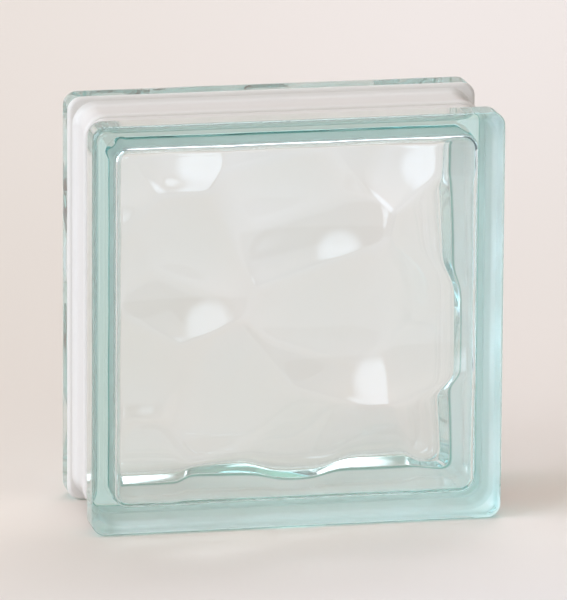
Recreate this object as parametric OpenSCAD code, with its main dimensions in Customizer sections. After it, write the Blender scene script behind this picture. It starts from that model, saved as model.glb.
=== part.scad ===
// Hollow glass block for walls: two pressed glass halves fused into one sealed piece.
// It stands on its lower edge. X runs across the face, Y through the depth with the
// front face at minus Y, and Z is up. The origin is under the middle of the block.
// All sizes are in millimetres.

/* [Block] */
// Width of the face
block_w = 190; // [140:1:300]
// Height of the face
block_h = 190; // [140:1:300]
// Depth from face to face
block_d = 80; // [70:1:120]

/* [Flange round each face] */
// Thickness of the flange at its outer edge
flange_t = 16; // [10:0.5:20]
// Radius of the flange corners, seen from the front
flange_corner_r = 6.5; // [5:0.5:10]
// Rounding between the face and the flange edge
face_edge_r = 2.8; // [1:0.1:4]
// Rounding between the flange edge and the mortar channel
channel_edge_r = 2; // [0.5:0.1:2.5]

/* [Mortar channel] */
// Depth of the channel floor below the flange edge
channel_depth = 4; // [3:0.5:6]
// How far the channel side leans from its top to its foot
channel_lean = 2; // [1.5:0.5:4]
// Radius at the foot of the channel side
channel_foot_r = 4; // [1:0.5:6]
// Radius of the channel floor round the corners of the block
channel_corner_r = 9; // [8:0.5:16]
// Width of the bead where the two halves are fused
seam_w = 5; // [3:0.5:8]
// Height of that bead above the channel floor
seam_h = 1.5; // [0.5:0.1:2]

/* [Cavity] */
// Thickness of the side walls at the seam
wall_t = 6; // [5:0.5:10]
// How much each cavity wall leans in from the seam to the panel
wall_draft = 1; // [0.5:0.5:4]
// Radius of the upright corners of the cavity
cavity_corner_r = 7; // [6:0.5:16]
// Radius between a panel and the cavity walls
panel_edge_r = 4.5; // [1:0.5:5.5]

/* [Wave pattern inside both panels] */
// Thickness of a panel at the top of a swell
panel_t = 10; // [8:0.5:14]
// Radius of a swell
swell_r = 27; // [24:1:40]
// How far a swell falls from its top to that radius
swell_fall = 2.2; // [0.5:0.1:3]
// Softness of the creases: larger is softer
crease_soft = 0.4; // [0.3:0.1:2]
// Turn of the back half about the depth axis before the halves are fused
back_turn = 0; // [0, 90, 180, 270]
// Squares of the wave surface along each side of a panel
panel_steps = 32; // [16:4:40]

/* [Hidden] */
$fn = 96;

// Middles of the swells as parts of the half width and half height of the cavity.
swells = [
    [-1.15, 0.8], [-0.75, 1.15], [-0.1, 1.2], [0.45, 1.1], [1.1, 1.05],
    [-0.7, 0.3], [0.0, 0.65], [1.0, 0.4],
    [-1.0, -0.25], [0.2, -0.05], [0.75, 0.0],
    [-0.4, -0.45], [0.0, -0.75], [1.0, -0.7],
    [-0.95, -0.8], [-0.3, -0.95], [0.3, -0.95], [0.9, -1.1]
];

// Depth of the channel section, from the inner plane of one flange to the other.
channel_w = block_d - 2 * flange_t;
// Outline of the channel floor.
neck_w = block_w - 2 * channel_depth;
neck_h = block_h - 2 * channel_depth;
// Half sizes of the cavity at the seam and at the panels.
seam_half = [neck_w / 2 - wall_t, neck_h / 2 - wall_t];
panel_half = seam_half - [wall_draft, wall_draft];
// Steps round the fillet between a panel and the walls.
fillet_steps = 3;
arc_steps = 8;

// Points of an arc from angle a0 to angle a1 about a middle.
function arc(middle, radius, a0, a1) =
    [for (k = [0:arc_steps]) let (a = a0 + (a1 - a0) * k / arc_steps)
        middle + radius * [cos(a), sin(a)]];

// Section of a flange edge, with x outward from the axis of the corner and y towards the face.
function flange_section() = concat(
    [[0, 0]],
    arc([flange_corner_r - channel_edge_r, channel_edge_r], channel_edge_r, -90, 0),
    arc([flange_corner_r - face_edge_r, flange_t - face_edge_r], face_edge_r, 0, 90),
    [[0, flange_t]]);

// Half of the channel section, from the seam to the flange, on the same axes.
function half_channel() =
    let (
        side_top = channel_corner_r + channel_depth - channel_edge_r,
        lean = atan2(channel_lean, channel_depth - channel_edge_r),
        foot = channel_w / 2 - channel_lean,
        // The foot arc touches the floor and the leaning side.
        reach = channel_foot_r * tan((90 - lean) / 2),
        middle = [channel_corner_r + channel_foot_r, foot - reach]
    )
    concat(
        [for (k = [0:arc_steps]) let (a = 90 * k / arc_steps)
            [channel_corner_r + seam_h * cos(a), seam_w / 2 * sin(a)]],
        arc(middle, channel_foot_r, 180, 90 + lean),
        [[side_top, channel_w / 2]]);

// Carries a section round a rectangle with rounded corners, and fills the middle.
module around(wide, high, corner_r, thick) {
    for (side = [0:3]) {
        across = side % 2 == 0 ? wide : high;
        along = side % 2 == 0 ? high : wide;
        rotate([0, 0, 90 * side])
            translate([across / 2 - corner_r, along / 2 - corner_r, 0]) {
                rotate_extrude(angle = 90) children();
                rotate([90, 0, 0]) linear_extrude(along - 2 * corner_r) children();
            }
    }
    translate([0, 0, thick / 2])
        cube([wide - 2 * corner_r, high - 2 * corner_r, thick], center = true);
}

module flange()
    translate([0, 0, channel_w / 2])
        around(block_w, block_h, flange_corner_r, flange_t)
            polygon(flange_section());

module neck() {
    half = half_channel();
    other_half = [for (k = [len(half) - 1:-1:1]) [half[k][0], -half[k][1]]];
    around(neck_w, neck_h, channel_corner_r, channel_w)
        translate([0, channel_w / 2])
            polygon(concat([[0, -channel_w / 2]], other_half, half, [[0, channel_w / 2]]));
}

// Depth of the wave surface below the top of its swells, at a place on a panel.
function wave(p) =
    let (
        steep = swell_fall / pow(swell_r, 2),
        heights = [for (s = swells)
            let (d = p - [s[0] * seam_half[0], s[1] * seam_half[1]])
                exp(-steep * (d * d) / crease_soft)]
    )
    -crease_soft * ln(heights * [for (s = swells) 1]);

// A place on one side of a rounded rectangle, from the middle of one corner, at t = -1,
// to the middle of the next, at t = 1. The side lies across at half size a and runs along b.
function side_place(t, a, b, r) =
    let (
        straight = b - r,
        run = abs(t) * (straight + r * PI / 4),
        turn = (run - straight) / r * 180 / PI
    )
    run <= straight
        ? [a, sign(t) * run]
        : [a - r + r * cos(turn), sign(t) * (straight + r * sin(turn))];

// A place inside a rounded rectangle, for grid steps u and v from -1 to 1.
function panel_place(u, v, half, r) =
    let (m = max(abs(u), abs(v)))
    m == 0 ? [0, 0]
    : abs(u) >= abs(v)
        ? let (p = side_place(v / m, half[0], half[1], r)) m * [sign(u) * p[0], p[1]]
        : let (p = side_place(u / m, half[1], half[0], r)) m * [p[1], sign(v) * p[0]];

// Grid steps of the places round the edge of a panel, counterclockwise from the lower right.
function edge_steps() =
    let (n = panel_steps)
    concat(
        [for (k = [0:n - 1]) [1, 2 * k / n - 1]],
        [for (k = [0:n - 1]) [1 - 2 * k / n, 1]],
        [for (k = [0:n - 1]) [-1, 1 - 2 * k / n]],
        [for (k = [0:n - 1]) [2 * k / n - 1, -1]]);

// Turns a place seen from the front into the same place of the pattern in a half.
function in_half(p, front) =
    front ? p : [-p[0] * cos(back_turn + 180) - p[1] * sin(back_turn + 180),
                 -p[0] * sin(back_turn + 180) + p[1] * cos(back_turn + 180)];

// Height of a panel's inner surface above the seam, at a place.
function panel_z(p, front) = block_d / 2 - panel_t + wave(in_half(p, front));

// A ring of places where the fillet has turned through an angle from the panel to the wall.
function fillet_ring(angle, front) =
    let (
        back_in = panel_edge_r * (1 - sin(angle)),
        down = panel_edge_r * (1 - cos(angle)),
        inner = panel_half - [panel_edge_r, panel_edge_r],
        inner_r = cavity_corner_r - panel_edge_r,
        here = panel_half - [back_in, back_in],
        here_r = cavity_corner_r - back_in,
        s = front ? 1 : -1
    )
    [for (e = edge_steps())
        let (
            base = panel_place(e[0], e[1], inner, inner_r),
            p = panel_place(e[0], e[1], here, here_r)
        )
        [p[0], p[1], s * (panel_z(base, front) - down)]];

function seam_ring() =
    [for (e = edge_steps())
        let (p = panel_place(e[0], e[1], seam_half, cavity_corner_r + wall_draft))
        [p[0], p[1], 0]];

function panel_points(front) =
    let (n = panel_steps, edge = [panel_edge_r, panel_edge_r])
    [for (i = [0:n], j = [0:n])
        let (p = panel_place(2 * i / n - 1, 2 * j / n - 1, panel_half - edge,
            cavity_corner_r - panel_edge_r))
        [p[0], p[1], (front ? 1 : -1) * panel_z(p, front)]];

// The sealed space inside, with the wave surfaces of both panels at its ends.
module cavity() {
    n = panel_steps;
    round = 4 * n;
    grid = (n + 1) * (n + 1);
    angles = [for (k = [1:fillet_steps]) 90 * k / fillet_steps];
    front_rings = [for (a = angles) fillet_ring(a, true)];
    back_rings = [for (k = [fillet_steps - 1:-1:0]) fillet_ring(angles[k], false)];
    rings = concat(front_rings, [seam_ring()], back_rings);
    ring_points = [for (ring = rings) each ring];
    back_start = grid + len(ring_points);
    edge = concat(
        [for (k = [0:n - 1]) n * (n + 1) + k],
        [for (k = [0:n - 1]) (n - k) * (n + 1) + n],
        [for (k = [0:n - 1]) n - k],
        [for (k = [0:n - 1]) k * (n + 1)]);
    loops = concat(
        [edge],
        [for (r = [0:len(rings) - 1]) [for (k = [0:round - 1]) grid + r * round + k]],
        [[for (e = edge) back_start + e]]);
    front_faces = [for (i = [0:n - 1], j = [0:n - 1])
        let (a = i * (n + 1) + j, b = a + n + 1)
        each [[a, a + 1, b + 1], [a, b + 1, b]]];
    wall_faces = [for (r = [0:len(loops) - 2], k = [0:round - 1])
        let (next = (k + 1) % round, up = loops[r], low = loops[r + 1])
        each [[up[k], up[next], low[next]], [up[k], low[next], low[k]]]];
    back_faces = [for (f = front_faces) back_start * [1, 1, 1] + [f[2], f[1], f[0]]];
    polyhedron(
        concat(panel_points(true), ring_points, panel_points(false)),
        concat(front_faces, wall_faces, back_faces));
}

module glass_block()
    color([0.80, 0.90, 0.87])
    translate([0, 0, block_h / 2]) rotate([90, 0, 0])
        difference() {
            union() {
                flange();
                mirror([0, 0, 1]) flange();
                translate([0, 0, -channel_w / 2]) neck();
            }
            cavity();
        }

glass_block();
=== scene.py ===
import math
from collections import namedtuple

import bmesh
import bpy
import numpy as np
from mathutils import Matrix, Vector


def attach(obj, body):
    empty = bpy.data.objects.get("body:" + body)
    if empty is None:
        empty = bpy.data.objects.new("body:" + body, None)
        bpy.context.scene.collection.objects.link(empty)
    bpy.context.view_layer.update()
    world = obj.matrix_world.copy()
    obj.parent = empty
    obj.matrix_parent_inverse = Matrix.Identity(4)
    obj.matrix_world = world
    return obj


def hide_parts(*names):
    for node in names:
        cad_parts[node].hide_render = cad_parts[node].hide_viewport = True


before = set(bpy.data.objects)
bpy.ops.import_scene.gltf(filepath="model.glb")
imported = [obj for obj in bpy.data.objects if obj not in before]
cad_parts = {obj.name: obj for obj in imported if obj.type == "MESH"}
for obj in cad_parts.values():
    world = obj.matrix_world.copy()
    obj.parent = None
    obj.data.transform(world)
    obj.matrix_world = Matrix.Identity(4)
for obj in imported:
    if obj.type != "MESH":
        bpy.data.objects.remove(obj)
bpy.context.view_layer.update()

# Sizes of the block in millimetres, the same as in the part's source.
BLOCK = 190.0
DEPTH = 80.0
FLANGE_T = 16.0
FLANGE_CORNER_R = 6.5
FACE_EDGE_R = 2.8
CHANNEL_EDGE_R = 2.0
CHANNEL_DEPTH = 4.0
CHANNEL_LEAN = 2.0
CHANNEL_FOOT_R = 4.0
CHANNEL_CORNER_R = 9.0
SEAM_W = 5.0
SEAM_H = 1.5
WALL_T = 6.0
WALL_DRAFT = 1.0
CAVITY_CORNER_R = 7.0
PANEL_EDGE_R = 4.5
PANEL_T = 10.0
SWELL_R = 27.0
SWELL_FALL = 2.2
CREASE_SOFT = 0.4

# Middles of the swells as parts of the half size of the cavity at the seam.
SWELLS = np.array([
    (-1.15, 0.8), (-0.75, 1.15), (-0.1, 1.2), (0.45, 1.1), (1.1, 1.05),
    (-0.7, 0.3), (0.0, 0.65), (1.0, 0.4),
    (-1.0, -0.25), (0.2, -0.05), (0.75, 0.0),
    (-0.4, -0.45), (0.0, -0.75), (1.0, -0.7),
    (-0.95, -0.8), (-0.3, -0.95), (0.3, -0.95), (0.9, -1.1),
])

HALF = BLOCK / 2
NECK_HALF = HALF - CHANNEL_DEPTH
SEAM_HALF = NECK_HALF - WALL_T
PANEL_HALF = SEAM_HALF - WALL_DRAFT
CHANNEL_Z = DEPTH / 2 - FLANGE_T

# How finely the mesh follows the shapes.
STRAIGHT_STEPS = 24
PANEL_STEPS = 160
FACE_EDGE_STEPS = 12
ARC_STEPS = 8
CORNER_FINE_FROM, CORNER_FINE_TO = 30, 60
CORNER_STEPS, CORNER_FINE_STEPS = 8, 24
# Rings on the flat stretches, in millimetres from the end of the next arc, so that the
# smooth shading of the arc doesn't spread over them.
FACE_RINGS = (5, 1.5, 0.4)
LAND_RING = 0.2
FLOOR_RING = 0.4
# Rings down a cavity wall, as parts of the way from the fillet to the seam.
WALL_RINGS = (0.04, 0.5, 0.96)
CREASE_DEGREES = 24
NEAR_ZERO = 1e-9
WELD_GAP = 1e-7
NO_LENGTH = 1e-8

# The glass, and the white coat in the mortar channel. The coat has one colour seen from
# the air and another through the glass: lit and shaded copies of one coat, painted light
# through the glass and painted shade from the air. The stripe is painted shade, a dark line
# in the second one along the foot of the channel, with its place along Y and its half width
# in metres.
GLASS_IOR = 1.52
GLASS_TINT = (0.26, 0.81, 0.80, 1)
GLASS_DENSITY = 7.0
CLEAR = (1, 1, 1, 1)
COAT_ROUGHNESS = 0.5
COAT_GLOW = 0.03
COAT_OUTSIDE_SHADED = (0.675, 0.645, 0.61, 1)
COAT_ON_GLASS_LIT = (0.99, 0.94, 0.92, 1)
STREAK_SCALE = (2, 60, 2)
STREAK_DETAIL = 4
STREAK_LOW, STREAK_HIGH = 0.3, 0.7
STREAK_ON_GLASS = 0.1
STREAK_OUTSIDE = 0.06
# The dark line at the channel's foot is painted shade.
FOOT_SHADE_AT = 0.0205
FOOT_SHADE_HALF = 0.0028
FOOT_SHADE_COLOUR = (0.14, 0.40, 0.33, 1)

# The paper floor, in metres, just clear of the block's lower edges. Its colours follow each
# other along Y from near to far and hold painted light: bluish in front, out of view, standing
# in for cool light that the glass reflects, and painted shade beside the block. A darker tone
# on the left, painted shade, fades out to the right.
FLOOR_SIZE = 12
FLOOR_GAP = 0.0002
FLOOR_MIDDLE = 2.0
PAPER_NEAR, PAPER_FAR = -0.9, 1.2
PAPER_TINT_AND_LIGHT = [
    (0.67, 0.75, 0.85, 1), (0.64, 0.75, 0.87, 1),
    (0.79, 0.725, 0.675, 1), (0.75, 0.685, 0.63, 1), (0.76, 0.71, 0.66, 1),
    (0.81, 0.755, 0.715, 1), (0.82, 0.77, 0.73, 1),
]
PAPER_ACROSS = (0.98, -0.2, 0)
PAPER_LEFT, PAPER_RIGHT = -0.16, 0.08
PAPER_LEFT_SHADE = (0.94, 0.93, 0.90, 1)
PAPER_ROUGHNESS = 0.9

# The room and its round soft lights, in the order in which they are laid over each other.
# A light is full within its core and gone beyond its reach, both in degrees.
Light = namedtuple("Light", "towards colour core reach")
ROOM = (0.12, 0.14, 0.16)
BACK = Light((0, 1, 0.15), (0.73, 0.62, 0.57), 40, 80)
HIGH = Light((0.17, 0.42, 0.88), (4.2, 4.2, 4.45), 8, 18)
FILL = Light((0, -0.64, 0.77), (1.1, 0.97, 0.82), 22, 46)
KEY = Light((-0.9, -0.16, 0.4), (4.0, 4.4, 5.0), 10, 38)
FRONT = Light((-0.15, -0.97, 0.19), (3.8, 4.3, 5.0), 6, 13)

# The camera, from a fit of the block's outline to the photograph: sensor and lens in
# millimetres, place and furthest view in metres, turns in degrees.
SENSOR_W = 36
LENS = 517.0
CAMERA_AT = (-0.763, -3.742, 1.048)
CAMERA_TURNS = (("Y", 2.48), ("X", -13.77), ("Z", -11.79))
CAMERA_END = 50

# Light has to pass many glass surfaces and to spread between them.
GLASS_BOUNCES = 32
SPREAD_BOUNCES = 16


# The outside: rings round a square with rounded corners, from the front face to the back.

def station_angles():
    """Angles round a corner, closer together where the small corner of the flange turns."""
    return np.radians(np.concatenate([
        np.linspace(0, CORNER_FINE_FROM, CORNER_STEPS + 1)[:-1],
        np.linspace(CORNER_FINE_FROM, CORNER_FINE_TO, CORNER_FINE_STEPS + 1)[:-1],
        np.linspace(CORNER_FINE_TO, 90, CORNER_STEPS + 1)]))


def ring(half, r):
    """Points round a square of that half size with its corners rounded to r.

    Every ring has its points at the same stations: rays from the middle of the channel
    floor's corner, and steps along the sides."""
    middle = NECK_HALF - CHANNEL_CORNER_R
    side = [(half, v) for v in np.linspace(-middle, middle, STRAIGHT_STEPS + 1)[:-1]]
    reach = half - middle
    for a in station_angles()[:-1]:
        c, s = math.cos(a), math.sin(a)
        if c > NEAR_ZERO and middle + reach * s / c <= half - r:
            side.append((half, middle + reach * s / c))
        elif s > NEAR_ZERO and middle + reach * c / s <= half - r:
            side.append((middle + reach * c / s, half))
        else:
            w = middle - (half - r)
            along = w * (c + s)
            d = -along + math.sqrt(max(along * along - 2 * w * w + r * r, 0))
            side.append((middle + d * c, middle + d * s))
    side = np.array(side)
    turns = []
    for k in range(4):
        c, s = round(math.cos(k * math.pi / 2)), round(math.sin(k * math.pi / 2))
        turns.append(side @ np.array([[c, s], [-s, c]]))
    return np.concatenate(turns)


def arc_angles(start, end, steps):
    return np.radians(np.linspace(start, end, steps + 1))


def outer_rings():
    """(half size, corner radius, height above the seam) of each ring, from the face to the seam."""
    top = DEPTH / 2
    rings = []
    # The face and its rounded edge.
    inner, inner_r = HALF - FACE_EDGE_R, FLANGE_CORNER_R - FACE_EDGE_R
    for back in FACE_RINGS:
        rings.append((inner - back, inner_r, top))
    for a in arc_angles(90, 0, FACE_EDGE_STEPS):
        out = FACE_EDGE_R * math.cos(a)
        rings.append((inner + out, inner_r + out, top - FACE_EDGE_R + FACE_EDGE_R * math.sin(a)))
    # The land of the flange and its edge to the channel.
    edge_low = CHANNEL_Z + CHANNEL_EDGE_R
    rings.append((HALF, FLANGE_CORNER_R, top - FACE_EDGE_R - LAND_RING))
    rings.append((HALF, FLANGE_CORNER_R, edge_low + LAND_RING))
    for a in arc_angles(0, -90, ARC_STEPS):
        out = CHANNEL_EDGE_R * (math.cos(a) - 1)
        rings.append((HALF + out, FLANGE_CORNER_R + out, edge_low + CHANNEL_EDGE_R * math.sin(a)))
    # The leaning side of the channel and its rounded foot.
    rise = CHANNEL_DEPTH - CHANNEL_EDGE_R
    lean = math.atan2(CHANNEL_LEAN, rise)
    rings.append((NECK_HALF + rise, CHANNEL_CORNER_R + rise, CHANNEL_Z))
    foot = CHANNEL_Z - CHANNEL_LEAN - CHANNEL_FOOT_R * math.tan((math.pi / 2 - lean) / 2)
    for a in np.linspace(math.pi / 2 + lean, math.pi, ARC_STEPS + 1):
        out = CHANNEL_FOOT_R * (1 + math.cos(a))
        rings.append((NECK_HALF + out, CHANNEL_CORNER_R + out, foot + CHANNEL_FOOT_R * math.sin(a)))
    # The floor of the channel and half of the bead at the seam.
    rings.append((NECK_HALF, CHANNEL_CORNER_R, foot - FLOOR_RING))
    rings.append((NECK_HALF, CHANNEL_CORNER_R, SEAM_W / 2 + FLOOR_RING))
    for a in arc_angles(90, 0, ARC_STEPS):
        out = SEAM_H * math.cos(a)
        rings.append((NECK_HALF + out, CHANNEL_CORNER_R + out, SEAM_W / 2 * math.sin(a)))
    return rings


def outside():
    """Points and faces of the outer skin, and whether each point is coated.

    The points are on the CAD part's lying axes: x across, y up, z to the front."""
    front = outer_rings()
    rings = front + [(h, r, -z) for h, r, z in reversed(front[:-1])]
    points, faces = [], []
    for h, r, z in rings:
        xy = ring(h, r)
        points.append(np.column_stack([xy, np.full(len(xy), z)]))
    n = len(points[0])
    for k in range(len(rings) - 1):
        for i in range(n):
            j = (i + 1) % n
            faces.append((k * n + i, (k + 1) * n + i, (k + 1) * n + j, k * n + j))
    faces.append(tuple(range(n)))
    faces.append(tuple((len(rings) - 1) * n + i for i in reversed(range(n))))
    coated = [abs(z) < CHANNEL_Z + CHANNEL_EDGE_R for _, _, z in rings for _ in range(n)]
    return np.concatenate(points), faces, coated


# The inside: a grid on each panel with the wave relief, then the fillets and the walls.

def wave(x, y):
    """Depth of the wave surface below the top of its swells."""
    steep = SWELL_FALL / SWELL_R ** 2
    total = np.zeros_like(x)
    for sx, sy in SWELLS * SEAM_HALF:
        total += np.exp(-steep * ((x - sx) ** 2 + (y - sy) ** 2) / CREASE_SOFT)
    return -CREASE_SOFT * np.log(total)


def side_place(t, half, r):
    """A place on the right side of a rounded square, from corner middle to corner middle."""
    straight = half - r
    run = np.abs(t) * (straight + r * math.pi / 4)
    turn = np.maximum(run - straight, 0) / r
    across = half - r + r * np.cos(turn)
    up = np.where(run <= straight, run, straight + r * np.sin(turn))
    return across, np.sign(t) * up


def panel_place(u, v, half, r):
    """Places inside a rounded square for grid steps u and v from -1 to 1."""
    m = np.maximum(np.abs(u), np.abs(v))
    safe = np.where(m > 0, m, 1)
    ax, ay = side_place(v / safe, half, r)
    bx, by = side_place(u / safe, half, r)
    wide = np.abs(u) >= np.abs(v)
    x = np.where(wide, np.sign(u) * ax, by)
    y = np.where(wide, ay, np.sign(v) * bx)
    return m * x, m * y


def edge_steps(n):
    """Grid steps round the edge of a panel, counterclockwise from the lower right."""
    one = np.ones(n)
    s = 2 * np.arange(n) / n - 1
    return np.concatenate([one, -s, -one, s]), np.concatenate([s, one, -s, -one])


def panel_z(x, y, front):
    """Height of a panel's inner surface above the seam. The back half is the front half
    turned over, top to bottom."""
    return DEPTH / 2 - PANEL_T + wave(x, y if front else -y)


def inside():
    """Points and faces of the cavity, facing into it."""
    n = PANEL_STEPS
    inner, inner_r = PANEL_HALF - PANEL_EDGE_R, CAVITY_CORNER_R - PANEL_EDGE_R
    g = np.linspace(-1, 1, n + 1)
    u, v = [a.ravel() for a in np.meshgrid(g, g, indexing="ij")]
    eu, ev = edge_steps(n)
    edge_x, edge_y = panel_place(eu, ev, inner, inner_r)
    sx, sy = panel_place(eu, ev, SEAM_HALF, CAVITY_CORNER_R + WALL_DRAFT)
    seam = np.column_stack([sx, sy, np.zeros(len(sx))])

    grids, rings = {}, {}
    for front in (True, False):
        s = 1 if front else -1
        x, y = panel_place(u, v, inner, inner_r)
        grids[front] = np.column_stack([x, y, s * panel_z(x, y, front)])
        edge_z = panel_z(edge_x, edge_y, front)
        loops = []
        for a in arc_angles(0, 90, ARC_STEPS)[1:]:
            back = PANEL_EDGE_R * (1 - math.sin(a))
            px, py = panel_place(eu, ev, PANEL_HALF - back, CAVITY_CORNER_R - back)
            pz = s * (edge_z - PANEL_EDGE_R * (1 - math.cos(a)))
            loops.append(np.column_stack([px, py, pz]))
        fillet_end = loops[-1]
        loops += [fillet_end * (1 - f) + seam * f for f in WALL_RINGS]
        rings[front] = loops
    rings = rings[True] + [seam] + rings[False][::-1]
    points = np.concatenate([grids[True]] + rings + [grids[False]])

    # Where each loop of points starts: the front panel's edge, the rings, the back's edge.
    count, size = (n + 1) ** 2, 4 * n
    k = np.arange(n)
    edge = np.concatenate([n * (n + 1) + k, (n - k) * (n + 1) + n, n - k, k * (n + 1)])
    back_start = count + len(rings) * size
    loops = [edge]
    loops += [count + r * size + np.arange(size) for r in range(len(rings))]
    loops.append(back_start + edge)

    i, j = [a.ravel() for a in np.meshgrid(k, k, indexing="ij")]
    a = i * (n + 1) + j
    b = a + n + 1
    quads = [np.column_stack([a, a + 1, b + 1, b]),
             back_start + np.column_stack([b, b + 1, a + 1, a])]
    for up, low in zip(loops[:-1], loops[1:]):
        quads.append(np.column_stack([up, np.roll(up, -1), np.roll(low, -1), low]))
    return points, [tuple(int(c) for c in q) for q in np.concatenate(quads)]


def glass_mesh():
    """Both skins of the block in one mesh, standing, in metres, with the coat's mask."""
    out_points, out_faces, coated = outside()
    in_points, in_faces = inside()
    start = len(out_points)
    lying = np.concatenate([out_points, in_points])
    world = np.column_stack([lying[:, 0], -lying[:, 2], lying[:, 1] + HALF]) / 1000
    faces = out_faces + [tuple(start + c for c in f) for f in in_faces]
    mesh = bpy.data.meshes.new("glass_block")
    mesh.from_pydata(world.tolist(), [], faces)
    mesh.polygons.foreach_set("use_smooth", [True] * len(mesh.polygons))
    film = mesh.attributes.new("film", "FLOAT", "POINT")
    film.data.foreach_set("value", [float(c) for c in coated] + [0.0] * len(in_points))
    return mesh


def join_rings(mesh):
    """Joins the points where two rings meet, and keeps the moulded creases crisp."""
    bm = bmesh.new()
    bm.from_mesh(mesh)
    bmesh.ops.remove_doubles(bm, verts=bm.verts, dist=WELD_GAP)
    bmesh.ops.dissolve_degenerate(bm, edges=bm.edges, dist=NO_LENGTH)
    bm.to_mesh(mesh)
    bm.free()
    mesh.set_sharp_from_angle(angle=math.radians(CREASE_DEGREES))


# Shader nodes that are used more than once.

def put(tree, value, socket):
    """Links an output to an input, or sets the input to a plain value."""
    if isinstance(value, bpy.types.NodeSocket):
        tree.links.new(value, socket)
    else:
        socket.default_value = value


def mixed(tree, factor, a, b, blend="MIX"):
    """Colour a where the factor is 0, blended with colour b where it is 1."""
    mix = tree.nodes.new("ShaderNodeMix")
    mix.data_type = "RGBA"
    mix.blend_type = blend
    factor_socket, a_socket, b_socket = mix.inputs[0], mix.inputs[6], mix.inputs[7]
    put(tree, factor, factor_socket)
    put(tree, a, a_socket)
    put(tree, b, b_socket)
    colour_socket = mix.outputs[2]
    return colour_socket


def ranged(tree, value, low, high, to_low=0.0, to_high=1.0, smooth=False):
    """A value brought to to_low at its low end and to to_high at its high end."""
    node = tree.nodes.new("ShaderNodeMapRange")
    node.interpolation_type = "SMOOTHSTEP" if smooth else "LINEAR"
    node.inputs["From Min"].default_value = low
    node.inputs["From Max"].default_value = high
    node.inputs["To Min"].default_value = to_low
    node.inputs["To Max"].default_value = to_high
    tree.links.new(value, node.inputs["Value"])
    return node.outputs[0]


def along(tree, place, direction):
    """How far a place lies along a direction."""
    node = tree.nodes.new("ShaderNodeVectorMath")
    node.operation = "DOT_PRODUCT"
    node.inputs[1].default_value = direction
    tree.links.new(place, node.inputs[0])
    return node.outputs["Value"]


def depth_of(tree, place):
    """The Y of a place."""
    axes = tree.nodes.new("ShaderNodeSeparateXYZ")
    tree.links.new(place, axes.inputs[0])
    return axes.outputs["Y"]


def object_place(tree):
    return tree.nodes.new("ShaderNodeTexCoord").outputs["Object"]


def new_material(name):
    """A material with its node tree and its shader."""
    mat = bpy.data.materials.new(name)
    mat.use_nodes = True
    shader = next(n for n in mat.node_tree.nodes if n.type == "BSDF_PRINCIPLED")
    return mat, mat.node_tree, shader


# The glass and its coat.

def streaks(tree):
    """Noise drawn out along the channel, all the way round the block."""
    stretch = tree.nodes.new("ShaderNodeMapping")
    stretch.inputs["Scale"].default_value = STREAK_SCALE
    tree.links.new(object_place(tree), stretch.inputs["Vector"])
    noise = tree.nodes.new("ShaderNodeTexNoise")
    noise.inputs["Scale"].default_value = 1
    noise.inputs["Detail"].default_value = STREAK_DETAIL
    tree.links.new(stretch.outputs["Vector"], noise.inputs["Vector"])
    return noise.outputs[0]


def streaked(tree, colour, noise, strength):
    """A coat colour, darkened along its streaks."""
    level = ranged(tree, noise, STREAK_LOW, STREAK_HIGH, 1 - strength, 1)
    return mixed(tree, 1, colour, level, "MULTIPLY")


def with_foot_shade(tree, colour):
    """The coat as seen through the glass, with painted shade: a dark line along the foot of the
    channel's back side.
    """
    away = tree.nodes.new("ShaderNodeMath")
    away.operation = "SUBTRACT"
    tree.links.new(depth_of(tree, object_place(tree)), away.inputs[0])
    away.inputs[1].default_value = FOOT_SHADE_AT
    distance = tree.nodes.new("ShaderNodeMath")
    distance.operation = "ABSOLUTE"
    tree.links.new(away.outputs[0], distance.inputs[0])
    beyond = ranged(tree, distance.outputs[0], 0, FOOT_SHADE_HALF, smooth=True)
    return mixed(tree, beyond, FOOT_SHADE_COLOUR, colour)


def glass_material():
    """Green glass, with the white coat where the mesh's film mask is 1."""
    mat, tree, shader = new_material("glass")
    nodes, links = tree.nodes, tree.links
    out = next(n for n in nodes if n.type == "OUTPUT_MATERIAL")
    mask = nodes.new("ShaderNodeAttribute")
    mask.attribute_name = "film"
    film = mask.outputs["Fac"]

    noise = streaks(tree)
    # The coat's colour from the air is painted shade and its colour through the glass is painted
    # light.
    shaded_from_air = streaked(tree, COAT_OUTSIDE_SHADED, noise, STREAK_OUTSIDE)
    # The coat through the glass also carries a dark foot line of painted shade.
    lit_through_glass = with_foot_shade(tree, streaked(tree, COAT_ON_GLASS_LIT, noise, STREAK_ON_GLASS))
    glass_side = nodes.new("ShaderNodeNewGeometry").outputs["Backfacing"]
    coat = mixed(tree, glass_side, shaded_from_air, lit_through_glass)

    shader.inputs["IOR"].default_value = GLASS_IOR
    links.new(ranged(tree, film, 0, 1, 1, 0), shader.inputs["Transmission Weight"])
    links.new(ranged(tree, film, 0, 1, 0, COAT_ROUGHNESS), shader.inputs["Roughness"])
    links.new(mixed(tree, film, CLEAR, coat), shader.inputs["Base Color"])

    # A little light comes through the coat.
    milky = nodes.new("ShaderNodeBsdfTranslucent")
    milky.inputs["Color"].default_value = COAT_ON_GLASS_LIT
    surface = nodes.new("ShaderNodeMixShader")
    links.new(ranged(tree, film, 0, 1, 0, COAT_GLOW), surface.inputs[0])
    links.new(shader.outputs[0], surface.inputs[1])
    links.new(milky.outputs[0], surface.inputs[2])
    links.new(surface.outputs[0], out.inputs["Surface"])

    absorb = nodes.new("ShaderNodeVolumeAbsorption")
    absorb.inputs["Color"].default_value = GLASS_TINT
    absorb.inputs["Density"].default_value = GLASS_DENSITY
    links.new(absorb.outputs[0], out.inputs["Volume"])
    return mat


block = bpy.data.objects.new("glass_block_visual", glass_mesh())
bpy.context.collection.objects.link(block)
join_rings(block.data)
block.data.materials.append(glass_material())
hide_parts("glass_block")
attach(block, "root")


# The set: a pale paper floor that fills the view, and a dim room with soft lights in it.

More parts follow.
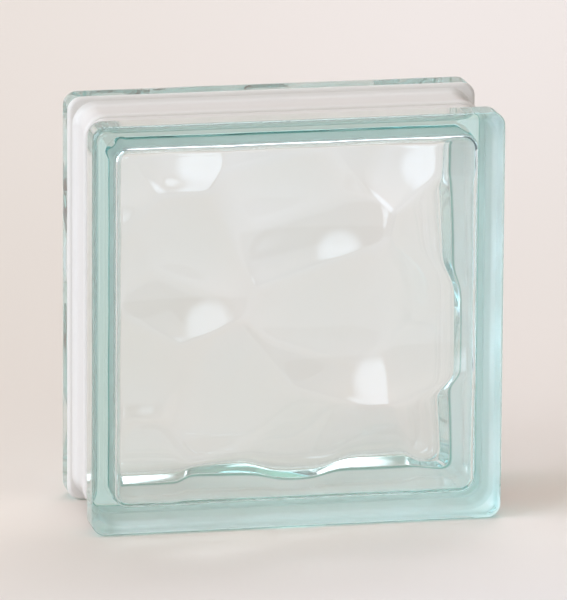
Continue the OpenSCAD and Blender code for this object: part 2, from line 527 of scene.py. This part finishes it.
def paper_material():
    """Warm white paper with painted light: painted shade beside the block and on the left, and a
    bluish colour in front of it that stands in for cool light reflected in the glass.
    """
    mat, tree, shader = new_material("paper")
    place = tree.nodes.new("ShaderNodeNewGeometry").outputs["Position"]
    shades = tree.nodes.new("ShaderNodeValToRGB")
    shades.color_ramp.interpolation = "B_SPLINE"
    # The colour stops are painted light: bluish cool light in front, shade beside the block.
    stops = shades.color_ramp.elements
    stops[0].color, stops[1].color = PAPER_TINT_AND_LIGHT[0], PAPER_TINT_AND_LIGHT[-1]
    for k, colour in enumerate(PAPER_TINT_AND_LIGHT[1:-1], 1):
        stops.new(k / (len(PAPER_TINT_AND_LIGHT) - 1)).color = colour
    depth = ranged(tree, depth_of(tree, place), PAPER_NEAR, PAPER_FAR)
    tree.links.new(depth, shades.inputs[0])
    # The darker left tone is painted shade.
    across = ranged(tree, along(tree, place, PAPER_ACROSS), PAPER_LEFT, PAPER_RIGHT)
    left_shade = mixed(tree, across, PAPER_LEFT_SHADE, CLEAR)
    colour = mixed(tree, 1, shades.outputs[0], left_shade, "MULTIPLY")
    tree.links.new(colour, shader.inputs["Base Color"])
    shader.inputs["Roughness"].default_value = PAPER_ROUGHNESS
    return mat


bpy.ops.mesh.primitive_plane_add(size=FLOOR_SIZE, location=(0, FLOOR_MIDDLE, -FLOOR_GAP))
floor = bpy.context.object
floor.name = "floor"
floor.data.materials.append(paper_material())

scene = bpy.context.scene
scene.world = bpy.data.worlds.new("world")
scene.world.use_nodes = True
sky = scene.world.node_tree
direction = sky.nodes.new("ShaderNodeTexCoord").outputs["Generated"]
colour = sky.nodes.new("ShaderNodeRGB").outputs[0]
colour.default_value = (*ROOM, 1)
for light in (BACK, HIGH, FILL, KEY, FRONT):
    closeness = along(sky, direction, Vector(light.towards).normalized())
    gone, full = [math.cos(math.radians(a)) for a in (light.reach, light.core)]
    colour = mixed(sky, ranged(sky, closeness, gone, full, smooth=True), colour, (*light.colour, 1))
sky.links.new(colour, sky.nodes["Background"].inputs["Color"])

camera_data = bpy.data.cameras.new("camera")
camera_data.sensor_width = SENSOR_W
camera_data.lens = LENS
camera_data.clip_end = CAMERA_END
camera = bpy.data.objects.new("camera", camera_data)
bpy.context.collection.objects.link(camera)
turn = Matrix.Identity(3)
for axis, degrees in CAMERA_TURNS:
    turn = turn @ Matrix.Rotation(math.radians(degrees), 3, axis)
right, ahead, up = turn.col
pose = Matrix((right, up, -ahead)).transposed().to_4x4()
pose.translation = CAMERA_AT
camera.matrix_world = pose
scene.camera = camera

scene.view_settings.view_transform = "Standard"
# Reflections inside the glass stay as sharp as they are.
scene.cycles.blur_glossy = 0
scene.cycles.max_bounces = GLASS_BOUNCES
scene.cycles.transmission_bounces = GLASS_BOUNCES
scene.cycles.transparent_max_bounces = GLASS_BOUNCES
scene.cycles.diffuse_bounces = SPREAD_BOUNCES
scene.cycles.glossy_bounces = SPREAD_BOUNCES
